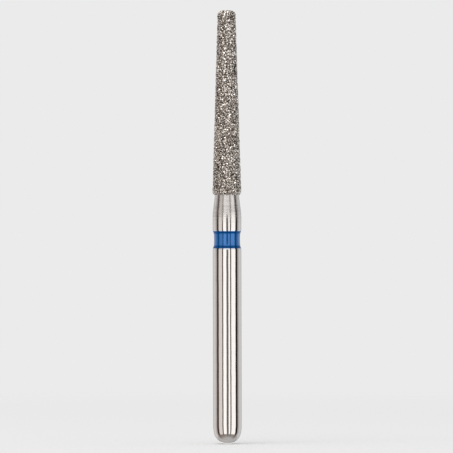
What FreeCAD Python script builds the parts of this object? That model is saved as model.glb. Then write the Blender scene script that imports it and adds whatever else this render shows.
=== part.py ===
import FreeCAD, Part
import math
import os
import random

# A tapered diamond dental bur on a friction-grip shank, in millimetres.
# The origin is the apex of the shank's domed end. +Z runs along the axis to the cutting tip.

Vector = FreeCAD.Vector
AXIS = Vector(0, 0, 1)
ORIGIN = Vector(0, 0, 0)

# Shank: the ground cylinder that a turbine's chuck grips, with a round nose to guide it in
shank_d = 1.60
nose_r = 0.775
lead_in_deg = 7.0
grip_l = 10.81

# Ring groove: a shallow waist turned round the shank. Each end is a convex lip and a concave ramp
# of one radius, and a long hollow arc joins the two ramps.
groove_l = 1.15
groove_depth = 0.073
waist_round_r = 0.40
waist_bow_r = 5.0

# Colour band: a lacquer film in a recess of the waist, flush with the steel lips
band_l = 0.95
band_t = 0.04

# Neck: a plain collar of the shank, then a rounded shoulder and a cone up to the head
collar_l = 0.57
neck_l = 1.34
shoulder_r = 4.1

# Head: the envelope that the grain tips touch
head_l = 10.285
head_base_d = 1.60
head_tip_d = 0.99
tip_corner_r = 0.29
base_edge_r = 0.20
core_chamfer = 0.08

# Diamond coat: nickel plated onto the core, and one layer of grains standing out of it
bond_t = 0.075
grain_h = 0.055
grain_pitch = 0.23
grain_scatter = 0.28
grain_seed = 107

# Places and radii that follow
shank_r = shank_d / 2
groove_z = grip_l
collar_z = groove_z + groove_l
neck_z = collar_z + collar_l
head_z = neck_z + neck_l
tip_z = head_z + head_l
coat_t = bond_t + grain_h
head_lean = math.atan((head_base_d - head_tip_d) / 2 / head_l)


def head_r(z):
    """Radius of the head's tapered envelope at a height."""
    return head_base_d / 2 - (z - head_z) * math.tan(head_lean)


def core_r(z):
    """Radius of the steel core under the coat at a height."""
    return head_r(z) - coat_t


def at(r, z):
    """A point of an outline, at a radius and a height."""
    return Vector(r, 0, z)


def on_arc(centre, radius, angle):
    """The point of an arc at an angle in radians, measured up from the outward radius."""
    return centre + at(radius * math.cos(angle), radius * math.sin(angle))


def line(start, end):
    return Part.LineSegment(start, end).toShape()


def arc(centre, radius, start, end):
    """An edge of an arc between two angles in radians."""
    points = [on_arc(centre, radius, angle) for angle in (start, (start + end) / 2, end)]
    return Part.Arc(*points).toShape()


def angle_from(centre, point):
    return math.atan2(point.z - centre.z, point.x - centre.x)


def turn(edges):
    """The solid that a closed outline sweeps in one turn, as four quarter turns joined."""
    outline = Part.Face(Part.Wire(edges))
    quarters = []
    for k in range(4):
        start = outline.copy()
        start.rotate(ORIGIN, AXIS, 90 * k)
        quarters.append(start.revolve(ORIGIN, AXIS, 90))
    return quarters[0].multiFuse(quarters[1:]).Solids[0]


# Waist

class Waist:
    """The ring groove's outline: a lip, a ramp and a long hollow arc, mirrored about its middle.

    The ramp's arc touches the lip's arc from outside and the long arc from within.
    """

    def __init__(self):
        self.middle_z = (groove_z + collar_z) / 2
        self.lip = at(shank_r - waist_round_r, groove_z)
        self.middle = at(shank_r - groove_depth + waist_bow_r, self.middle_z)
        self.ramp = self.ramp_centre()
        self.edge = math.asin((groove_l - band_l) / 2 / waist_round_r)
        self.slope = angle_from(self.lip, self.ramp)
        self.hollow = angle_from(self.middle, self.ramp) % (2 * math.pi)

    def ramp_centre(self):
        to_lip, to_middle = 2 * waist_round_r, waist_bow_r - waist_round_r
        across = self.middle - self.lip
        along = (across.Length ** 2 + to_lip ** 2 - to_middle ** 2) / 2 / across.Length
        aside = math.sqrt(to_lip ** 2 - along ** 2)
        unit = across / across.Length
        return self.lip + unit * along + at(-unit.z, unit.x) * aside

    def mirrored(self, point):
        return at(point.x, 2 * self.middle_z - point.z)

    def lower_lip(self):
        """The lip's arc from the shank to the band's lower edge."""
        return arc(self.lip, waist_round_r, 0, self.edge)

    def upper_lip(self):
        """The lip's arc from the band's upper edge to the collar."""
        return arc(self.mirrored(self.lip), waist_round_r, -self.edge, 0)

    def face(self):
        """The band's face, from its lower edge to its upper edge."""
        lower = [
            (self.lip, waist_round_r, self.edge, self.slope),
            (self.ramp, waist_round_r, math.pi + self.slope, self.hollow),
        ]
        long_arc = (self.middle, waist_bow_r, self.hollow, 2 * math.pi - self.hollow)
        upper = [(self.mirrored(centre), radius, -end, -start) for centre, radius, start, end in lower]
        return [arc(*piece) for piece in lower + [long_arc] + upper[::-1]]

    def recess(self):
        """The recess behind the band: a wall square to each lip, two slopes and a hollow floor."""
        outer = on_arc(self.lip, waist_round_r, self.edge)
        inner = on_arc(self.lip, waist_round_r - band_t, self.edge)
        floor = on_arc(self.middle, waist_bow_r + band_t, self.hollow)
        corners = [outer, inner, floor]
        lower = [line(start, end) for start, end in zip(corners, corners[1:])]
        upper = [line(self.mirrored(start), self.mirrored(end)) for start, end in zip(corners, corners[1:])]
        long_arc = arc(self.middle, waist_bow_r + band_t, self.hollow, 2 * math.pi - self.hollow)
        return lower + [long_arc] + upper[::-1]


# Turned blank

def lower_shank(waist):
    """Outline from the apex of the nose up to the lower edge of the colour band."""
    lead_in = math.radians(lead_in_deg)
    taper_start = on_arc(at(0, nose_r), nose_r, -lead_in)
    taper_end = at(shank_r, taper_start.z + (shank_r - taper_start.x) / math.tan(lead_in))
    return [
        arc(at(0, nose_r), nose_r, -math.pi / 2, -lead_in),
        line(taper_start, taper_end),
        line(taper_end, at(shank_r, groove_z)),
        waist.lower_lip(),
    ]


def neck(waist):
    """Outline from the upper edge of the colour band to the base of the core.

    The neck's cone touches the shoulder's arc and ends at the core's base.
    """
    across = shoulder_r - (shank_r - core_r(head_z))
    slope = math.atan2(neck_l, across) - math.acos(shoulder_r / math.hypot(across, neck_l))
    shoulder = at(shank_r - shoulder_r, neck_z)
    return [
        waist.upper_lip(),
        line(at(shank_r, collar_z), at(shank_r, neck_z)),
        arc(shoulder, shoulder_r, 0, slope),
        line(on_arc(shoulder, shoulder_r, slope), at(core_r(head_z), head_z)),
    ]


def core():
    """Outline of the core under the coat, from its base to the axis at its chamfered end."""
    end_z = tip_z - coat_t
    shoulder_z = end_z - core_chamfer
    corners = [
        at(core_r(head_z), head_z),
        at(core_r(shoulder_z), shoulder_z),
        at(core_r(shoulder_z) - core_chamfer, end_z),
        at(0, end_z),
    ]
    return [line(start, end) for start, end in zip(corners, corners[1:])]


def turned_blank(waist):
    """Shank, waist, neck and core, turned from one bar."""
    closing = line(at(0, tip_z - coat_t), ORIGIN)
    return turn(lower_shank(waist) + waist.recess() + neck(waist) + core() + [closing])


# Colour band

def colour_band(waist):
    """The lacquer ring, with its face along the waist and its back in the recess."""
    return turn(waist.face() + waist.recess()[::-1])


# Diamond coat

class CoatOutline:
    """The coat's envelope as one path: round its lower edge, up the side, round the tip, to the axis.

    The path starts a little inside the core, so that the coat closes on the steel.
    """

    start_inset = 0.03

    def __init__(self):
        self.edge_centre, self.edge_start = self.lower_edge()
        corner_z = tip_z - tip_corner_r
        self.corner_centre = at(head_r(corner_z) - tip_corner_r / math.cos(head_lean), corner_z)
        self.side_start = on_arc(self.edge_centre, base_edge_r, head_lean)
        self.side_end = on_arc(self.corner_centre, tip_corner_r, head_lean)
        self.edge_l = base_edge_r * (head_lean - self.edge_start)
        self.side_l = (self.side_end - self.side_start).Length
        self.corner_l = tip_corner_r * (math.pi / 2 - head_lean)
        self.length = self.edge_l + self.side_l + self.corner_l + self.corner_centre.x

    def lower_edge(self):
        """Centre of the rounded lower edge, and the angle at which its arc starts in the core."""
        centre_r = head_r(head_z) - base_edge_r / math.cos(head_lean)
        reach = core_r(head_z) - centre_r
        rise = math.sqrt(base_edge_r ** 2 - reach ** 2)
        start = -math.acos((reach - self.start_inset) / base_edge_r)
        return at(head_r(head_z + rise) - base_edge_r / math.cos(head_lean), head_z + rise), start

    def point(self, along):
        """Point of the path and its outward normal, at a length along it."""
        if along < self.edge_l:
            angle = self.edge_start + along / base_edge_r
            return on_arc(self.edge_centre, base_edge_r, angle), on_arc(ORIGIN, 1, angle)
        along -= self.edge_l
        if along < self.side_l:
            step = (self.side_end - self.side_start) * (along / self.side_l)
            return self.side_start + step, on_arc(ORIGIN, 1, head_lean)
        along -= self.side_l
        if along < self.corner_l:
            angle = head_lean + along / tip_corner_r
            return on_arc(self.corner_centre, tip_corner_r, angle), on_arc(ORIGIN, 1, angle)
        along -= self.corner_l
        return at(max(self.corner_centre.x - along, 0), tip_z), AXIS


class GritSurface:
    """Rings of scattered points up the coat, joined by flat facets like those of crushed grains.

    One point in three is the tip of a grain, and the others lie low in the bond between grains.
    """

    def __init__(self, outline):
        self.outline = outline
        self.random = random.Random(grain_seed)
        self.point_gap = grain_pitch / math.sqrt(3)
        self.row_gap = self.point_gap * math.sqrt(3) / 2
        self.points = []
        self.facets = []

    def add_point(self, along, angle, depth):
        """Adds the point at a length along the outline and an angle round the axis."""
        place, normal = self.outline.point(along)
        sunk = place - normal * depth
        x, y = sunk.x * math.cos(angle), sunk.x * math.sin(angle)
        self.points.append(Vector(x, y, sunk.z))
        return len(self.points) - 1

    def depth_share(self, is_tip):
        """Share of a grain's height by which a point lies under the envelope."""
        return self.random.uniform(0, 0.25) if is_tip else self.random.uniform(0.5, 1)

    def ring(self, row, rows):
        """One ring, as pairs of an angle and a point's number, closed by its own first point."""
        along = self.outline.length * row / rows
        around = 2 * math.pi * self.outline.point(along)[0].x
        count = max(5, round(around / self.point_gap))
        scatter = grain_scatter if row > 0 else 0
        first_tip = self.random.randrange(3)
        pairs = []
        for k in range(count):
            shift = self.random.uniform(-scatter, scatter)
            angle = 2 * math.pi * (k + row % 2 / 2 + shift) / count
            step = self.random.uniform(-scatter, scatter) * self.row_gap
            depth = grain_h * self.depth_share(k % 3 == first_tip)
            pairs.append((angle, self.add_point(along + step, angle, depth)))
        first_angle, first_point = pairs[0]
        return pairs + [(first_angle + 2 * math.pi, first_point)]

    def stitch(self, low, high):
        """Fills the strip between two rings, stepping on along whichever lags behind."""
        i, j = 0, 0
        while i < len(low) - 1 or j < len(high) - 1:
            step_low = j == len(high) - 1 or (i < len(low) - 1 and low[i + 1][0] <= high[j + 1][0])
            if step_low:
                self.facets.append((low[i][1], low[i + 1][1], high[j][1]))
                i += 1
            else:
                self.facets.append((low[i][1], high[j + 1][1], high[j][1]))
                j += 1

    def close(self, ring, centre):
        """Fans a ring to a point on the axis."""
        for (_, here), (_, there) in zip(ring, ring[1:]):
            self.facets.append((here, there, centre))

    def solid(self):
        """The closed solid inside the grit, core and all."""
        rows = round(self.outline.length / self.row_gap)
        rings = [self.ring(row, rows) for row in range(rows)]
        for low, high in zip(rings, rings[1:]):
            self.stitch(low, high)
        self.close(rings[-1], self.add_point(self.outline.length, 0, grain_h / 2))
        floor = self.points[rings[0][0][1]].z
        self.points.append(Vector(0, 0, floor))
        self.close(rings[0][::-1], len(self.points) - 1)
        shell = Part.Shape()
        shell.makeShapeFromMesh((self.points, self.facets), 1e-6)
        return Part.Solid(shell)


def diamond_coat(blank):
    """The plated grit, with the steel that it sits on cut out of it."""
    return GritSurface(CoatOutline()).solid().cut(blank).Solids[0]


def main():
    os.makedirs("parts", exist_ok=True)
    waist = Waist()
    blank = turned_blank(waist)
    blank.exportStep("parts/turned_blank.step")
    colour_band(waist).exportStep("parts/colour_band.step")
    diamond_coat(blank).exportStep("parts/diamond_coat.step")


main()
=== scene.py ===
"""Looks of a tapered diamond dental bur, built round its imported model.

Blender's objects are in metres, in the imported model's own frame: the shank's domed end stands on
z = 0 and the diamond head points up the Z axis. The classes hold their sizes in millimetres.
"""

from __future__ import annotations

import logging
import math
import random
from collections import defaultdict
from dataclasses import dataclass
from enum import Enum
from itertools import product
from typing import Any, Mapping, Optional, Sequence, Union

import bmesh
import bpy
from mathutils import Euler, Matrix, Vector, noise


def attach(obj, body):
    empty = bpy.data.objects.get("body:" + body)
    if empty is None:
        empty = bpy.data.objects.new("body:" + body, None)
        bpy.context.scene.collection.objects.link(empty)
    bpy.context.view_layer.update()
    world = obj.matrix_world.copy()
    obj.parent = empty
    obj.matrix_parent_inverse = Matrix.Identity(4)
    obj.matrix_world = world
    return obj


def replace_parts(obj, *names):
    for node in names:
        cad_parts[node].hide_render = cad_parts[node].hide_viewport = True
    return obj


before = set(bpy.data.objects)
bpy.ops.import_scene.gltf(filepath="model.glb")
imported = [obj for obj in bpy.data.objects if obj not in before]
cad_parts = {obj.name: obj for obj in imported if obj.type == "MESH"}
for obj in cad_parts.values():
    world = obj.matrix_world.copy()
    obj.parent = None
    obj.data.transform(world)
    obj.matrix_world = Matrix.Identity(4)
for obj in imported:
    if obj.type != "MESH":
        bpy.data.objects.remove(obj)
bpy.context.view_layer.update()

MM = 0.001
UM = 0.000001
TINY = 1e-7
FULL_TURN = 2 * math.pi
HALF_TURN_DEG = 180.0
NOISE_MIDDLE = 0.5
TONE = "tone"

log = logging.getLogger("dental_bur")

Colour = tuple[float, float, float]
Waves = tuple[float, float, float]
Limits = tuple[float, float]
Stroke = list[Vector]


class CadNode(Enum):
    """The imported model's nodes that the finished meshes stand for."""

    BLANK = "turned_blank"
    BAND = "colour_band"
    COAT = "diamond_coat"


class Slot(Enum):
    """The record's material slots."""

    STEEL = "steel"
    LACQUER = "lacquer"
    GRIT = "diamond_grit"


# Shader trees


class Signal:
    """One output of a shader node, on which arithmetic adds Math nodes."""

    def __init__(self, tree: ShaderTree, socket: bpy.types.NodeSocket) -> None:
        """Wraps a socket of a tree."""
        self.tree = tree
        self.socket = socket

    def __add__(self, other: Term) -> Signal:
        """This plus another."""
        return self.tree.math("ADD", self, other)

    def __radd__(self, other: Term) -> Signal:
        """Another plus this."""
        return self.tree.math("ADD", other, self)

    def __sub__(self, other: Term) -> Signal:
        """This less another."""
        return self.tree.math("SUBTRACT", self, other)

    def __rsub__(self, other: Term) -> Signal:
        """Another less this."""
        return self.tree.math("SUBTRACT", other, self)

    def __mul__(self, other: Term) -> Signal:
        """This times another."""
        return self.tree.math("MULTIPLY", self, other)

    def __rmul__(self, other: Term) -> Signal:
        """Another times this."""
        return self.tree.math("MULTIPLY", other, self)

    def __abs__(self) -> Signal:
        """This without its sign."""
        return self.tree.math("ABSOLUTE", self)


Term = Union[Signal, float]


class ShaderTree:
    """The node tree of a material or a world, emptied and built again."""

    def __init__(self, owner: Union[bpy.types.Material, bpy.types.World]) -> None:
        """Empties the owner's tree."""
        is_world = isinstance(owner, bpy.types.World)
        self.output = "ShaderNodeOutputWorld" if is_world else "ShaderNodeOutputMaterial"
        owner.use_nodes = True
        self.tree = owner.node_tree
        self.tree.nodes.clear()

    def node(
        self,
        kind: str,
        settings: Optional[Mapping[str, Any]] = None,
        inputs: Optional[Mapping[Union[str, int], Any]] = None,
        output: Union[str, int] = 0,
    ) -> Signal:
        """Adds a node.

        Args:
            kind: The node's type.
            settings: Its properties, set first. A ramp's stops are pairs of a place and a colour.
            inputs: A value or a signal for each input socket, by name or number.
            output: The output socket that is wanted.

        Returns:
            That output.
        """
        made = self.tree.nodes.new(kind)
        for name, value in (settings or {}).items():
            if name == "stops":
                self._set_stops(made.color_ramp, value)
            else:
                setattr(made, name, value)
        for name, value in (inputs or {}).items():
            socket = made.inputs[name]
            if isinstance(value, Signal):
                self.tree.links.new(value.socket, socket)
            elif isinstance(value, tuple) and socket.type == "RGBA":
                socket.default_value = (*value, 1.0)
            else:
                socket.default_value = value
        return Signal(self, made.outputs[output] if made.outputs else None)

    @staticmethod
    def _set_stops(ramp: bpy.types.ColorRamp, stops: Sequence[tuple[float, Colour]]) -> None:
        """Gives a colour ramp its stops."""
        while len(ramp.elements) < len(stops):
            ramp.elements.new(1.0)
        for element, (place, colour) in zip(ramp.elements, stops):
            element.position = place
            element.color = (*colour, 1.0)

    def math(self, operation: str, *terms: Term) -> Signal:
        """Adds a Math node on one, two or three terms."""
        return self.node("ShaderNodeMath", {"operation": operation}, dict(enumerate(terms)))

    def step(self, value: Term, low: float, high: float) -> Signal:
        """A smooth rise from 0 to 1 from a low value to a high one, or a fall where low is greater."""
        inputs = {"Value": value, "From Min": low, "From Max": high}
        return self.node("ShaderNodeMapRange", {"interpolation_type": "SMOOTHSTEP"}, inputs)

    def blend(self, factor: Term, first: Union[Signal, Colour], second: Union[Signal, Colour]) -> Signal:
        """A mix of two colours."""
        inputs = {0: factor, 6: first, 7: second}
        return self.node("ShaderNodeMix", {"data_type": "RGBA"}, inputs, output=2)

    def ramp(self, value: Term, stops: Sequence[tuple[float, Colour]]) -> Signal:
        """A colour picked along a ramp."""
        return self.node("ShaderNodeValToRGB", {"stops": stops}, {0: value})

    def place(self) -> Signal:
        """The point of the surface, in millimetres in the model's frame."""
        metres = self.node("ShaderNodeTexCoord", output="Object")
        inputs = {0: metres, "Scale": 1 / MM}
        return self.node("ShaderNodeVectorMath", {"operation": "SCALE"}, inputs)

    def part(self, vector: Signal, letter: str) -> Signal:
        """The X, Y or Z part of a vector."""
        return self.node("ShaderNodeSeparateXYZ", None, {0: vector}, output=letter)

    def grain(self, vector: Signal, around: float, along: float, detail: float) -> Signal:
        """Noise from 0 to 1, with scales of its own across the axis and along it.

        Args:
            vector: The point, in millimetres.
            around: Waves to a millimetre across the axis.
            along: Waves to a millimetre along the axis.
            detail: How many finer layers are added.

        Returns:
            The noise.
        """
        stretched = {0: vector, 1: (around, around, along)}
        scaled = self.node("ShaderNodeVectorMath", {"operation": "MULTIPLY"}, stretched)
        return self.node("ShaderNodeTexNoise", None, {"Vector": scaled, "Scale": 1.0, "Detail": detail})

    def bump(self, height: Signal) -> Signal:
        """The normal of a surface with a relief, whose height is in micrometres."""
        return self.node("ShaderNodeBump", None, {"Height": height, "Distance": UM}, output="Normal")

    def surface(self, inputs: Mapping[str, Any]) -> None:
        """Ends the tree in a Principled surface."""
        shader = self.node("ShaderNodeBsdfPrincipled", None, inputs)
        self.finish(shader)

    def finish(self, shader: Signal) -> None:
        """Links a shader to the material's or the world's output."""
        self.node(self.output, None, {"Surface": shader})


def new_material(name: str) -> tuple[bpy.types.Material, ShaderTree]:
    """A material and its empty tree."""
    material = bpy.data.materials.new(name)
    return material, ShaderTree(material)


# Finishes
#
# Each noise holds its waves to a millimetre across the axis and along it, and how many finer layers
# are added. Depths in a relief are in micrometres.


@dataclass(frozen=True)
class SteelFinish:
    """Ground stainless steel, with fine turning marks that are plainest on the neck."""

    colour: Colour = (0.77, 0.755, 0.74)
    shade: Colour = (0.60, 0.585, 0.57)
    haze: Colour = (0.68, 0.77, 0.90)
    neck: Limits = (12.03, 12.93)
    band_middle: float = 11.385
    band_half: float = 0.475
    haze_l: float = 0.12
    marks: Waves = (0.9, 14.0, 3.0)
    dull_marks: Limits = (0.42, 0.66)
    dull: float = 0.12
    dull_on_neck: float = 0.55
    scratches: Waves = (0.5, 16.0, 3.0)
    deep_scratches: Limits = (0.60, 0.75)
    scratch_shade: float = 0.25
    neck_shade: float = 0.2
    swells: Waves = (1.1, 1.6, 1.0)
    swell_depth: float = 9.0
    mark_depth: float = 0.1
    mark_depth_on_neck: float = 3.5
    patches: Waves = (1.5, 3.0, 2.0)
    metallic: float = 1.0
    roughness: float = 0.045
    patch_roughness: float = 0.03
    neck_roughness: float = 0.16

    def material(self) -> bpy.types.Material:
        """Builds the finish."""
        material, tree = new_material("ground_steel")
        place = tree.place()
        height = tree.part(place, "Z")
        on_neck = tree.step(height, *self.neck)
        marks = tree.grain(place, *self.marks)
        dull = tree.step(marks, *self.dull_marks) * (self.dull + self.dull_on_neck * on_neck)
        scratches = tree.step(tree.grain(place, *self.scratches), *self.deep_scratches)
        shade = dull + scratches * self.scratch_shade + self.neck_shade * on_neck
        swells = tree.grain(place, *self.swells) * self.swell_depth
        relief = swells + marks * (self.mark_depth + self.mark_depth_on_neck * on_neck)
        patches = tree.grain(place, *self.patches)
        from_middle = abs(height - self.band_middle)
        near_band = tree.step(from_middle, self.band_half + self.haze_l, self.band_half)
        steel = tree.blend(shade, self.colour, self.shade)
        tree.surface({
            "Base Color": tree.blend(near_band, steel, self.haze),
            "Metallic": self.metallic,
            "Roughness": self.roughness + self.patch_roughness * patches + self.neck_roughness * on_neck,
            "Normal": tree.bump(relief),
        })
        return material


@dataclass(frozen=True)
class LacquerFinish:
    """Blue lacquer under a clear coat, least glossy along its two ends, where painted shade also deepens
    its colour.
    """

    colour: Colour = (0.001, 0.143, 0.46)
    # Painted shade for the band's two ends; the random mottle also leans towards this colour.
    mottle_and_painted_shade: Colour = (0.001, 0.087, 0.305)
    middle: float = 11.385
    half: float = 0.475
    end_l: float = 0.19
    mottle: Waves = (4.0, 4.0, 2.0)
    mottle_deep: float = 0.15
    peel: Waves = (3.0, 2.0, 1.0)
    peel_depth: float = 4.0
    metallic: float = 0.5
    specular: float = 0.1
    roughness: float = 0.05
    mottle_roughness: float = 0.04
    coat_lost_at_end: float = 0.9
    coat_roughness: float = 0.03
    coat_ior: float = 1.62

    def material(self) -> bpy.types.Material:
        """Builds the finish."""
        material, tree = new_material("blue_lacquer")
        place = tree.place()
        from_middle = abs(tree.part(place, "Z") - self.middle)
        # The band's two ends, darkened there with painted shade and given less clear coat.
        shaded_ends = tree.step(from_middle, self.half - self.end_l, self.half - self.end_l / 2)
        mottle = tree.grain(place, *self.mottle)
        peel = tree.grain(place, *self.peel)
        tree.surface({
            "Base Color": tree.blend(shaded_ends + self.mottle_deep * mottle, self.colour, self.mottle_and_painted_shade),
            "Metallic": self.metallic,
            "Roughness": self.roughness + self.mottle_roughness * mottle,
            "Coat Weight": 1 - self.coat_lost_at_end * shaded_ends,
            "Coat Roughness": self.coat_roughness,
            "Coat IOR": self.coat_ior,
            "Specular IOR Level": self.specular,
            "Normal": tree.bump(peel * self.peel_depth),
        })
        return material


@dataclass(frozen=True)
class NickelFinish:
    """The plated nickel between the grains, dull and a little brown."""

    light: Colour = (0.34, 0.31, 0.28)
    dark: Colour = (0.12, 0.10, 0.085)
    blotches: Waves = (9.0, 9.0, 2.0)
    blotch_edge: Limits = (0.42, 0.62)
    pits: Waves = (30.0, 30.0, 2.0)
    pit_depth: float = 6.0
    metallic: float = 0.9
    roughness: float = 0.35
    pit_roughness: float = 0.25

    def material(self) -> bpy.types.Material:
        """Builds the finish."""
        material, tree = new_material("nickel_bond")
        place = tree.place()
        blotches = tree.step(tree.grain(place, *self.blotches), *self.blotch_edge)
        pits = tree.grain(place, *self.pits)
        tree.surface({
            "Base Color": tree.blend(blotches, self.dark, self.light),
            "Metallic": self.metallic,
            "Roughness": self.roughness + self.pit_roughness * pits,
            "Normal": tree.bump(pits * self.pit_depth),
        })
        return material


@dataclass(frozen=True)
class DiamondFinish:
    """Crushed diamond, with a tone of its own on each facet, and painted glints: bright noise patches and
    bright crest lines that stand in for light caught by the grains.
    """

    # The ramp runs from dark to near white; the painted glints push towards its white end.
    tones: tuple[tuple[float, Colour], ...] = (
        (0.19, (0.075, 0.062, 0.05)),
        (0.39, (0.51, 0.468, 0.415)),
        (0.61, (0.95, 0.905, 0.84)),
        (0.84, (1.0, 0.99, 0.97)),
    )
    facet_share: float = 0.45
    # Painted glints: bright patches and thin bright crest lines of noise, standing in for light caught on
    # the grains' facets and edges.
    painted_glint_patches: Waves = (13.0, 13.0, 1.0)
    glint_patch_edge: Limits = (0.38, 0.62)
    glint_patch_share: float = 0.30
    painted_crest_glints: Waves = (8.0, 8.0, 1.0)
    crest_glint_edge: Limits = (0.06, 0.015)
    crest_glint_share: float = 0.35
    scratches: Waves = (45.0, 45.0, 2.0)
    metallic: float = 0.95
    roughness: float = 0.22
    facet_polish: float = 0.10
    scratch_roughness: float = 0.06

    def material(self) -> bpy.types.Material:
        """Builds the finish."""
        material, tree = new_material("diamond_grit")
        place = tree.place()
        tone = tree.node("ShaderNodeAttribute", {"attribute_name": TONE}, output="Fac")
        painted_glint_patches = tree.step(tree.grain(place, *self.painted_glint_patches), *self.glint_patch_edge)
        painted_crest_glints = tree.step(abs(tree.grain(place, *self.painted_crest_glints) - NOISE_MIDDLE), *self.crest_glint_edge)
        # Each facet's own random tone, lifted by the painted glints towards the ramp's white stops.
        tone_and_painted_glints = self.facet_share * tone + self.glint_patch_share * painted_glint_patches + self.crest_glint_share * painted_crest_glints
        scratches = tree.grain(place, *self.scratches)
        polish = self.roughness - self.facet_polish * tone
        tree.surface({
            "Base Color": tree.ramp(tone_and_painted_glints, self.tones),
            "Metallic": self.metallic,
            "Roughness": polish + self.scratch_roughness * scratches,
            "Normal": tree.bump(scratches),
        })
        return material


# Turned shapes


def on_arc(centre: Vector, radius: float, angle: float) -> Vector:
    """The point of an arc at an angle in radians, measured up from the outward radius."""
    return centre + radius * Vector((math.cos(angle), math.sin(angle)))


def arc(centre: Vector, radius: float, start: float, end: float, steps: int) -> Stroke:
    """Points along an arc between two angles in radians."""
    return [on_arc(centre, radius, start + (end - start) * k / steps) for k in range(steps + 1)]


def straight(start: Vector, end: Vector, steps: int = 1) -> Stroke:
    """Points along a straight line."""
    return [start.lerp(end, k / steps) for k in range(steps + 1)]


def joined(*strokes: Stroke) -> Stroke:
    """One smooth stroke out of several that follow on from each other."""
    whole = list(strokes[0])
    for stroke in strokes[1:]:
        whole += stroke[1:]
    return whole


def turned(point: Vector, angle: float) -> Vector:
    """A point of an outline, at its radius and height, carried round the axis."""
    return Vector((point.x * math.cos(angle), point.x * math.sin(angle), point.y))


@dataclass(frozen=True)
class Turning:
    """A closed shape swept round the axis by strokes, smooth along each and sharp where they meet."""

    strokes: Sequence[Stroke]
    sides: int = 192

    def profile(self) -> tuple[Stroke, set[int]]:
        """The points of all strokes in order, and the numbers of those at a corner."""
        points = list(self.strokes[0])
        corners = {0}
        for stroke in self.strokes[1:]:
            corners.add(len(points) - 1)
            points += stroke[1:]
        if (points[0] - points[-1]).length < TINY:
            points.pop()
        return points, corners

    def mesh(self, name: str) -> bpy.types.Mesh:
        """Sweeps the strokes.

        Args:
            name: The mesh's name.

        Returns:
            The closed mesh. A point on the axis is one vertex, where its facets are triangles.
        """
        points, corners = self.profile()
        places: list[Vector] = []
        rings: list[list[int]] = []
        for point in points:
            count = self.sides if point.x > TINY else 1
            rings.append(list(range(len(places), len(places) + count)))
            places += [turned(point, FULL_TURN * k / count) * MM for k in range(count)]
        pairs = list(zip(rings, rings[1:]))
        if points[0].x > TINY:
            pairs.append((rings[-1], rings[0]))
        faces = []
        for low, high in pairs:
            for k in range(self.sides):
                square = [(low, k), (low, k + 1), (high, k + 1), (high, k)]
                face = tuple(dict.fromkeys(ring[n % len(ring)] for ring, n in square))
                if len(face) > 2:
                    faces.append(face)
        mesh = bpy.data.meshes.new(name)
        mesh.from_pydata(places, [], faces)
        mesh.shade_smooth()
        corner_of = {vertex: n for n in corners for vertex in rings[n]}
        for edge in mesh.edges:
            first, second = (corner_of.get(vertex) for vertex in edge.vertices)
            edge.use_edge_sharp = first is not None and first == second
        return mesh


def show(name: str, mesh: bpy.types.Mesh, material: bpy.types.Material) -> bpy.types.Object:
    """Puts a finished mesh on the model's one body.

    Args:
        name: The piece's name.
        mesh: Its mesh, in place.
        material: Its finish.

    Returns:
        The piece.
    """
    mesh.materials.append(material)
    piece = bpy.data.objects.new(name, mesh)
    bpy.context.scene.collection.objects.link(piece)
    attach(piece, "root")
    log.info("%s: %d faces", name, len(mesh.polygons))
    return piece


# The head's envelope


@dataclass(frozen=True)
class Head:
    """The tapered envelope that the grain tips touch, and the steel core inside it."""

    base_z: float = 13.87
    length: float = 10.285
    base_d: float = 1.60
    tip_d: float = 0.99
    tip_corner_r: float = 0.29
    base_edge_r: float = 0.20
    core_chamfer: float = 0.08
    bond_t: float = 0.075
    grain_h: float = 0.055

    @property
    def tip_z(self) -> float:
        """Height of the flat end."""
        return self.base_z + self.length

    @property
    def lean(self) -> float:
        """Angle in radians between the side and the axis."""
        return math.atan((self.base_d - self.tip_d) / 2 / self.length)

    @property
    def coat_t(self) -> float:
        """Depth of the whole coat."""
        return self.bond_t + self.grain_h

    def radius(self, z: float) -> float:
        """Radius of the envelope at a height."""
        return self.base_d / 2 - (z - self.base_z) * math.tan(self.lean)

    def core_radius(self, z: float) -> float:
        """Radius of the steel core at a height."""
        return self.radius(z) - self.coat_t

    def core(self) -> list[Stroke]:
        """Strokes of the core, from its base to the axis at its chamfered end."""
        end_z = self.tip_z - self.coat_t
        shoulder_z = end_z - self.core_chamfer
        shoulder_r = self.core_radius(shoulder_z)
        corners = [
            Vector((self.core_radius(self.base_z), self.base_z)),
            Vector((shoulder_r, shoulder_z)),
            Vector((shoulder_r - self.core_chamfer, end_z)),
            Vector((0, end_z)),
        ]
        return [straight(start, end) for start, end in zip(corners, corners[1:])]


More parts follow.
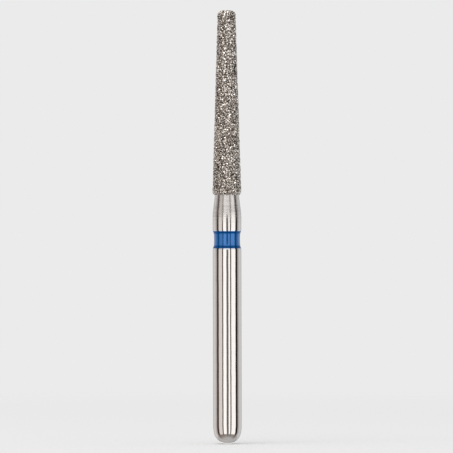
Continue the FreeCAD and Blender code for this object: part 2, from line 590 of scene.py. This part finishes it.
class Envelope:
    """The head's outline as a path: round its lower edge, up the side, round the tip, to the axis."""

    def __init__(self, head: Head, sunk: float = 0.0) -> None:
        """Lays out the path.

        Args:
            head: The head.
            sunk: How far the path runs inside the envelope.
        """
        self.head = head
        self.lean = head.lean
        self.edge_r = head.base_edge_r - sunk
        self.corner_r = head.tip_corner_r - sunk
        inset = head.base_edge_r / math.cos(self.lean)
        reach = head.core_radius(head.base_z) - (head.radius(head.base_z) - inset)
        edge_z = head.base_z + math.sqrt(head.base_edge_r ** 2 - reach ** 2)
        self.edge_centre = Vector((head.radius(edge_z) - inset, edge_z))
        self.edge_start = -math.acos((head.core_radius(edge_z) - self.edge_centre.x) / self.edge_r)
        corner_z = head.tip_z - head.tip_corner_r
        corner_x = head.radius(corner_z) - head.tip_corner_r / math.cos(self.lean)
        self.corner_centre = Vector((corner_x, corner_z))
        self.side_start = on_arc(self.edge_centre, self.edge_r, self.lean)
        self.side_end = on_arc(self.corner_centre, self.corner_r, self.lean)
        self.edge_l = self.edge_r * (self.lean - self.edge_start)
        self.side_l = (self.side_end - self.side_start).length
        self.corner_l = self.corner_r * (math.pi / 2 - self.lean)
        self.length = self.edge_l + self.side_l + self.corner_l + self.corner_centre.x

    def point(self, along: float) -> tuple[Vector, Vector]:
        """The path's point at a length along it, and the direction out of the head there."""
        if along < self.edge_l:
            angle = self.edge_start + along / self.edge_r
            return on_arc(self.edge_centre, self.edge_r, angle), on_arc(Vector((0, 0)), 1, angle)
        along -= self.edge_l
        if along < self.side_l:
            side = self.side_start.lerp(self.side_end, along / self.side_l)
            return side, on_arc(Vector((0, 0)), 1, self.lean)
        along -= self.side_l
        if along < self.corner_l:
            angle = self.lean + along / self.corner_r
            return on_arc(self.corner_centre, self.corner_r, angle), on_arc(Vector((0, 0)), 1, angle)
        along -= self.corner_l
        top = self.corner_centre.y + self.corner_r
        return Vector((max(self.corner_centre.x - along, 0.0), top)), Vector((0, 1))


# The waist


@dataclass(frozen=True)
class Waist:
    """The ring groove: a lip, a ramp and a long hollow arc, mirrored about its middle."""

    shank_r: float = 0.80
    low_z: float = 10.81
    length: float = 1.15
    band_l: float = 0.95
    depth: float = 0.073
    round_r: float = 0.40
    bow_r: float = 5.0
    film_t: float = 0.04
    round_steps: int = 10
    bow_steps: int = 16

    @property
    def middle_z(self) -> float:
        """Height of the middle."""
        return self.low_z + self.length / 2

    @property
    def lip(self) -> Vector:
        """Centre of the lower lip's arc."""
        return Vector((self.shank_r - self.round_r, self.low_z))

    @property
    def bow(self) -> Vector:
        """Centre of the long arc, out beyond the groove."""
        return Vector((self.shank_r - self.depth + self.bow_r, self.middle_z))

    @property
    def ramp(self) -> Vector:
        """Centre of the lower ramp's arc: it touches the lip's from outside, the long one from within."""
        to_lip, to_bow = 2 * self.round_r, self.bow_r - self.round_r
        across = self.bow - self.lip
        along = (across.length ** 2 + to_lip ** 2 - to_bow ** 2) / 2 / across.length
        aside = math.sqrt(to_lip ** 2 - along ** 2)
        unit = across.normalized()
        return self.lip + unit * along + Vector((-unit.y, unit.x)) * aside

    @property
    def edge(self) -> float:
        """Angle of the lip's arc at the band's edge."""
        return math.asin((self.length - self.band_l) / 2 / self.round_r)

    @property
    def slope(self) -> float:
        """Angle of the lip's arc where the ramp takes over."""
        to_ramp = self.ramp - self.lip
        return math.atan2(to_ramp.y, to_ramp.x)

    @property
    def hollow(self) -> float:
        """Angle of the long arc where the ramp ends."""
        to_ramp = self.ramp - self.bow
        return math.atan2(to_ramp.y, to_ramp.x) % FULL_TURN

    def mirrored(self, stroke: Stroke) -> Stroke:
        """A stroke of the lower half as it is in the upper half, still going up."""
        return [Vector((point.x, 2 * self.middle_z - point.y)) for point in reversed(stroke)]

    def lower_lip(self) -> Stroke:
        """The lip's arc from the shank to the band's lower edge."""
        return arc(self.lip, self.round_r, 0, self.edge, self.round_steps)

    def long_arc(self, behind: float) -> Stroke:
        """The long hollow arc, or one behind it."""
        return arc(self.bow, self.bow_r + behind, self.hollow, FULL_TURN - self.hollow, self.bow_steps)

    def face(self) -> Stroke:
        """The band's face, from its lower edge to its upper edge."""
        lip_end = arc(self.lip, self.round_r, self.edge, self.slope, self.round_steps)
        ramp = arc(self.ramp, self.round_r, math.pi + self.slope, self.hollow, self.round_steps)
        lower = joined(lip_end, ramp)
        return joined(lower, self.long_arc(0), self.mirrored(lower))

    def recess(self) -> list[Stroke]:
        """The recess behind the band, going up: a wall and a slope, a hollow floor, a slope and a wall."""
        outer = on_arc(self.lip, self.round_r, self.edge)
        inner = on_arc(self.lip, self.round_r - self.film_t, self.edge)
        floor = self.long_arc(self.film_t)
        lower = [straight(outer, inner), straight(inner, floor[0])]
        return [*lower, floor, *(self.mirrored(stroke) for stroke in reversed(lower))]


# Pieces


@dataclass(frozen=True)
class Blank:
    """The steel blank, turned in one: nose, shank, waist, collar, neck and the core in the head."""

    waist: Waist
    head: Head
    finish: SteelFinish
    nose_r: float = 0.775
    lead_in: float = math.radians(7.0)
    blend_r: float = 1.5
    neck_l: float = 1.34
    shoulder_r: float = 4.1
    dome_steps: int = 36
    blend_steps: int = 6
    cylinder_steps: int = 40
    collar_steps: int = 4
    shoulder_steps: int = 14
    cone_steps: int = 8

    def lower_shank(self) -> Stroke:
        """From the nose's apex up its dome, lead-in and cylinder to the band's lower edge."""
        shank_r = self.waist.shank_r
        dome = arc(Vector((0, self.nose_r)), self.nose_r, -math.pi / 2, -self.lead_in, self.dome_steps)
        rise = (shank_r - dome[-1].x) / math.tan(self.lead_in)
        blend_z = dome[-1].y + rise + self.blend_r * math.tan(self.lead_in / 2)
        centre = Vector((shank_r - self.blend_r, blend_z))
        blend = arc(centre, self.blend_r, -self.lead_in, 0, self.blend_steps)
        cylinder = straight(blend[-1], Vector((shank_r, self.waist.low_z)), self.cylinder_steps)
        return joined(dome, straight(dome[-1], blend[0]), blend, cylinder, self.waist.lower_lip())

    def neck(self) -> Stroke:
        """From the band's upper edge along the collar, the shoulder and the cone to the core."""
        shank_r = self.waist.shank_r
        base = Vector((self.head.core_radius(self.head.base_z), self.head.base_z))
        across = self.shoulder_r - (shank_r - base.x)
        reach = math.acos(self.shoulder_r / math.hypot(across, self.neck_l))
        slope = math.atan2(self.neck_l, across) - reach
        lip = self.waist.mirrored(self.waist.lower_lip())
        neck_z = base.y - self.neck_l
        collar = straight(lip[-1], Vector((shank_r, neck_z)), self.collar_steps)
        centre = Vector((shank_r - self.shoulder_r, neck_z))
        shoulder = arc(centre, self.shoulder_r, 0, slope, self.shoulder_steps)
        return joined(lip, collar, shoulder, straight(shoulder[-1], base, self.cone_steps))

    def build(self) -> bpy.types.Object:
        """Makes the steel piece, which stands for the turned blank."""
        strokes = [self.lower_shank(), *self.waist.recess(), self.neck(), *self.head.core()]
        mesh = Turning(strokes).mesh("steel_blank")
        piece = show("steel_blank", mesh, self.finish.material())
        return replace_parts(piece, CadNode.BLANK.value)


@dataclass(frozen=True)
class Band:
    """The lacquer ring in the waist."""

    waist: Waist
    finish: LacquerFinish

    def build(self) -> bpy.types.Object:
        """Makes the ring, which stands for the colour band."""
        back = [list(reversed(stroke)) for stroke in reversed(self.waist.recess())]
        mesh = Turning([self.waist.face(), *back]).mesh("blue_band")
        piece = show("blue_band", mesh, self.finish.material())
        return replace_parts(piece, CadNode.BAND.value)


@dataclass(frozen=True)
class Bond:
    """The nickel plated onto the core, uneven where it creeps up the grains."""

    head: Head
    finish: NickelFinish
    rows: int = 300
    sides: int = 144
    swell: float = 0.012
    swell_gap: float = 0.09

    def build(self) -> bpy.types.Object:
        """Makes the nickel, which with the grains stands for the diamond coat."""
        path = Envelope(self.head, self.head.grain_h)
        outside = [path.point(path.length * row / self.rows)[0] for row in range(self.rows + 1)]
        core = self.head.core()
        core[0] = [outside[0], core[0][-1]]
        inside = [list(reversed(stroke)) for stroke in reversed(core)]
        along_axis = straight(outside[-1], inside[0][0])
        mesh = Turning([outside, along_axis, *inside], self.sides).mesh("nickel_bond")
        for vertex, normal in zip(mesh.vertices[self.sides:], mesh.vertex_normals[self.sides:]):
            place = vertex.co / MM
            on_side = place.xy.length > self.head.core_radius(place.z) + self.swell
            if on_side or place.z > outside[-1].y - TINY:
                lift = noise.noise(place / self.swell_gap) * self.swell
                vertex.co += normal.vector * lift * MM
        piece = show("nickel_bond", mesh, self.finish.material())
        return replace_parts(piece, CadNode.COAT.value)


@dataclass(frozen=True)
class Grains:
    """One layer of crushed diamond, each grain half sunk in the nickel."""

    head: Head
    finish: DiamondFinish
    gap: float = 0.087
    small_r: float = 0.045
    large_r: float = 0.063
    flatness: float = 0.50
    cuts: tuple[int, int] = (10, 15)
    cut_reach: Limits = (0.68, 0.98)
    stand: Limits = (-0.35, 0.1)
    grain_share: float = 0.35
    shapes: int = 24
    throws: int = 100000
    seed: int = 11

    def shape(self, chance: random.Random) -> tuple[list[Vector], list[tuple[int, ...]]]:
        """One crushed crystal of about unit radius: a block with its corners struck off at random."""
        block = bmesh.new()
        bmesh.ops.create_cube(block, size=2.0)
        for _ in range(chance.randrange(*self.cuts)):
            normal = Vector([chance.gauss(0, 1) for _ in range(3)]).normalized()
            all_of_it = [*block.verts, *block.edges, *block.faces]
            plane = {"plane_co": normal * chance.uniform(*self.cut_reach), "plane_no": normal}
            cut = bmesh.ops.bisect_plane(block, geom=all_of_it, clear_outer=True, **plane)
            rim = [item for item in cut["geom_cut"] if isinstance(item, bmesh.types.BMEdge)]
            if rim:
                bmesh.ops.edgeloop_fill(block, edges=rim)
        bmesh.ops.recalc_face_normals(block, faces=block.faces)
        block.verts.index_update()
        places = [vertex.co.copy() for vertex in block.verts]
        faces = [tuple(vertex.index for vertex in face.verts) for face in block.faces]
        block.free()
        return places, faces

    def seats(self, chance: random.Random) -> list[tuple[Vector, Vector]]:
        """Throws grains at the envelope and keeps each that lands clear of the others.

        Args:
            chance: The source of random numbers.

        Returns:
            Places on the envelope and the directions out of the head there.
        """
        path = Envelope(self.head)
        widest = self.head.base_d / 2
        taken: dict[tuple[int, ...], list[Vector]] = defaultdict(list)
        seats = []
        for _ in range(self.throws):
            point, out = path.point(chance.uniform(0, path.length))
            if chance.uniform(0, widest) > point.x:
                continue
            angle = chance.uniform(0, FULL_TURN)
            place = turned(point, angle)
            cell = tuple(math.floor(c / self.gap) for c in place)
            cells = [tuple(map(sum, zip(cell, shift))) for shift in product((-1, 0, 1), repeat=3)]
            near = [other for key in cells for other in taken.get(key, ())]
            if all((other - place).length > self.gap for other in near):
                taken[cell].append(place)
                seats.append((place, turned(out, angle)))
        return seats

    def build(self) -> bpy.types.Object:
        """Makes all the grains as one piece, with a tone for each facet."""
        chance = random.Random(self.seed)
        shapes = [self.shape(chance) for _ in range(self.shapes)]
        places: list[Vector] = []
        faces: list[tuple[int, ...]] = []
        tones: list[float] = []
        for seat, out in self.seats(chance):
            corners, sides = chance.choice(shapes)
            spin = Euler([chance.uniform(0, FULL_TURN) for _ in range(3)]).to_matrix()
            size = Vector([chance.uniform(self.small_r, self.large_r) for _ in range(3)])
            cut = [spin @ (corner * size) for corner in corners]
            cut = [corner - out * corner.dot(out) * self.flatness for corner in cut]
            reach = max(corner.dot(out) for corner in cut)
            centre = seat - out * (reach + self.head.grain_h * chance.uniform(*self.stand))
            first = len(places)
            places += [(centre + corner) * MM for corner in cut]
            faces += [tuple(first + n for n in side) for side in sides]
            tone = self.grain_share * chance.random()
            tones += [tone + (1 - self.grain_share) * chance.random() for _ in sides]
        mesh = bpy.data.meshes.new("diamond_grains")
        mesh.from_pydata(places, [], faces)
        mesh.attributes.new(TONE, "FLOAT", "FACE").data.foreach_set("value", tones)
        return show("diamond_grains", mesh, self.finish.material())


# Studio


@dataclass(frozen=True)
class Card:
    """An upright card round the part: its middle and half width in degrees, its level and soft edge."""

    middle: float
    half_width: float
    level: float
    edge: float = 1.5


@dataclass(frozen=True)
class Zone:
    """What lies past a border of elevation: one level in front, which may give way to one behind.

    Angles are in degrees. The border's soft edge is negative where the zone lies below it.
    """

    border: float
    edge: float
    front: float
    behind: float
    front_half: float = HALF_TURN_DEG


@dataclass(frozen=True)
class Studio:
    """A pale floor and backdrop, with bright windows and dark gaps round the part for its gloss."""

    backdrop: float = 0.83
    plain_level: float = 0.80
    wall: float = 0.75
    cards: tuple[Card, ...] = (
        Card(-97, 9, 0.52, 8),
        Card(98, 9, 0.48, 8),
        Card(-2, 78, 1.28),
        Card(-22, 14, 1.34, 3),
        Card(-56, 18, 0.88, 3),
        Card(-81.5, 10.3, 0.08),
        Card(81.2, 10.8, 0.035),
        Card(-36.0, 4.6, 0.09),
        Card(28.8, 4.7, 0.09),
        Card(180, 36, 0.62, 6),
        Card(182, 13, 1.15, 3),
        Card(165, 4, 0.1),
        Card(-160, 4, 0.2),
    )
    dimming: float = 0.36
    dim_top: float = 22.0
    lens_azimuth: float = 2.4
    lens_r: float = 8.1
    lens_edge: float = 1.0
    lens_level: float = 0.19
    zones: tuple[Zone, ...] = (
        Zone(31, 3, 0.21, 0.21),
        Zone(55, 4, 3.5, 1.6, 75),
        Zone(70, 5, 0.35, 0.35),
        Zone(-31, -4, 0.26, 0.52, 100),
        Zone(-56, -14, 0.57, 0.57),
    )
    zone_cover: float = 0.93
    front_edge: float = 8.0
    tints: tuple[tuple[float, Colour], ...] = (
        (0.05, (1.0, 0.78, 0.66)),
        (0.55, (1.0, 0.985, 0.975)),
        (1.00, (1.0, 0.965, 0.945)),
    )
    warm: Colour = (1.0, 0.948, 0.921)
    warm_middle: float = -68.0
    warm_edge: Limits = (45.0, 35.0)
    cool: Colour = (0.955, 0.98, 1.0)
    cool_edge: Limits = (95.0, 115.0)
    lamp_size: float = 0.32
    lamp_power: float = 0.6
    lamp_place: tuple[float, float, float] = (-0.12, -0.17, 0.44)
    lamp_aim: tuple[float, float, float] = (0.0, 0.0, 0.012)
    floor_r: float = 120.0
    floor_sides: int = 96
    floor_drop: float = 0.001
    fade: Limits = (50.0, 117.6)

    def level(self, tree: ShaderTree, azimuth: Signal, elevation: Signal) -> Signal:
        """How bright the studio is in each direction, as gloss sees it.

        Args:
            tree: The world's tree.
            azimuth: Degrees round the part, from the front to its right.
            elevation: Degrees above the horizon.

        Returns:
            The level: cards on a wall that dims as it rises, with the lens and then the zones over them.
        """
        level: Term = self.wall
        for card in self.cards:
            turn = tree.math("WRAP", azimuth - card.middle, HALF_TURN_DEG, -HALF_TURN_DEG)
            inside = tree.step(abs(turn), card.half_width + card.edge, card.half_width - card.edge)
            level = level + (card.level - level) * inside
        level = level * (1 - self.dimming * tree.step(elevation, 0.0, self.dim_top))
        aside = azimuth - self.lens_azimuth
        rise = tree.math("MAXIMUM", elevation, 0.0)
        from_lens = tree.math("SQRT", aside * aside + rise * rise)
        in_lens = tree.step(from_lens, self.lens_r + self.lens_edge, self.lens_r - self.lens_edge)
        level = level + (self.lens_level - level) * in_lens
        for zone in self.zones:
            ends = zone.front_half - self.front_edge, zone.front_half + self.front_edge
            beyond = zone.front + (zone.behind - zone.front) * tree.step(abs(azimuth), *ends)
            cover = tree.step(elevation, zone.border - zone.edge, zone.border + zone.edge)
            level = level + (beyond - level) * (self.zone_cover * cover)
        return level

    def light(self, tree: ShaderTree) -> tuple[Signal, Signal]:
        """The level and the colour that gloss sees in each direction."""
        direction = tree.node("ShaderNodeTexCoord", output="Generated")
        x, y, z = (tree.part(direction, letter) for letter in "XYZ")
        azimuth = tree.math("ARCTAN2", x, 0 - y) * math.degrees(1)
        elevation = tree.math("ARCSINE", z) * math.degrees(1)
        level = self.level(tree, azimuth, elevation)
        on_left = tree.step(abs(azimuth - self.warm_middle), *self.warm_edge)
        on_right = tree.step(azimuth, *self.cool_edge)
        hue = tree.blend(on_right, tree.blend(on_left, (1, 1, 1), self.warm), self.cool)
        tinted = {0: tree.ramp(level, self.tints), 1: hue}
        return level, tree.node("ShaderNodeVectorMath", {"operation": "MULTIPLY"}, tinted)

    def world(self) -> None:
        """Sets the world: the studio for gloss, a plain level for the rest, pale for the camera."""
        world = bpy.data.worlds.new("studio")
        bpy.context.scene.world = world
        world.cycles.sampling_method = "NONE"
        tree = ShaderTree(world)
        kinds = ("Is Camera Ray", "Is Glossy Ray", "Is Transmission Ray")
        to_camera, glossy, through = (tree.node("ShaderNodeLightPath", output=kind) for kind in kinds)
        shiny = tree.math("MAXIMUM", glossy, through)
        level, colour = self.light(tree)
        seen = tree.node("ShaderNodeBackground", None, {"Color": colour, "Strength": level})
        plain, pale = (
            tree.node("ShaderNodeBackground", None, {"Color": (1, 1, 1), "Strength": strength})
            for strength in (self.plain_level, self.backdrop)
        )
        lit = tree.node("ShaderNodeMixShader", None, {0: shiny, 1: plain, 2: seen})
        tree.finish(tree.node("ShaderNodeMixShader", None, {0: to_camera, 1: lit, 2: pale}))

    def lamp(self) -> None:
        """Hangs one large soft lamp, high at the front left, with its place and size in metres."""
        data = bpy.data.lights.new("soft_lamp", "AREA")
        data.size = self.lamp_size
        data.energy = self.lamp_power
        lamp = bpy.data.objects.new("soft_lamp", data)
        lamp.location = self.lamp_place
        aim = Vector(self.lamp_aim) - lamp.location
        lamp.rotation_euler = aim.to_track_quat("-Z", "Y").to_euler()
        bpy.context.scene.collection.objects.link(lamp)

    def floor(self) -> None:
        """Lays a round floor that fades into the backdrop."""
        mesh = bpy.data.meshes.new("floor")
        edge = Vector((self.floor_r, -self.floor_drop))
        rim = [turned(edge, FULL_TURN * k / self.floor_sides) * MM for k in range(self.floor_sides)]
        mesh.from_pydata(rim, [], [tuple(range(self.floor_sides))])
        material, tree = new_material("pale_floor")
        place = tree.place()
        out = tree.node("ShaderNodeVectorMath", {"operation": "LENGTH"}, {0: place}, output="Value")
        paint = tree.node("ShaderNodeBsdfDiffuse", None, {"Color": (self.backdrop,) * 3})
        clear = tree.node("ShaderNodeBsdfTransparent")
        gone = tree.step(out, *self.fade)
        tree.finish(tree.node("ShaderNodeMixShader", None, {0: gone, 1: paint, 2: clear}))
        mesh.materials.append(material)
        floor = bpy.data.objects.new("floor", mesh)
        floor.visible_glossy = False
        bpy.context.scene.collection.objects.link(floor)

    def build(self) -> None:
        """Sets up the light and the floor."""
        self.world()
        self.lamp()
        self.floor()


@dataclass(frozen=True)
class Viewpoint:
    """The camera, level with the part's middle, as far off as makes the view nearly parallel."""

    picture_px: float = 453.0
    px_per_mm: float = 17.94
    foot_px: float = 443.9
    aside_px: float = 0.475
    tilt: float = math.radians(0.126)
    distance: float = 350.0
    nearest: float = 10.0
    sensor: float = 36.0

    def build(self) -> None:
        """Makes the camera the scene's own."""
        data = bpy.data.cameras.new("camera")
        data.sensor_width = self.sensor
        data.lens = self.sensor * self.distance * self.px_per_mm / self.picture_px
        data.clip_start = self.nearest * MM
        camera = bpy.data.objects.new("camera", data)
        height = (self.foot_px - self.picture_px / 2) / self.px_per_mm
        camera.location = Vector((-self.aside_px / self.px_per_mm, -self.distance, height)) * MM
        camera.rotation_euler = (math.pi / 2, self.tilt, 0)
        bpy.context.scene.collection.objects.link(camera)
        bpy.context.scene.camera = camera


def main() -> None:
    """Builds the pieces, then the studio round them."""
    logging.basicConfig(level=logging.INFO)
    bpy.context.scene.view_settings.view_transform = "Standard"
    head = Head()
    waist = Waist()
    Blank(waist, head, SteelFinish()).build()
    Band(waist, LacquerFinish()).build()
    Bond(head, NickelFinish()).build()
    Grains(head, DiamondFinish()).build()
    Studio().build()
    Viewpoint().build()


if __name__ == "__main__":
    main()
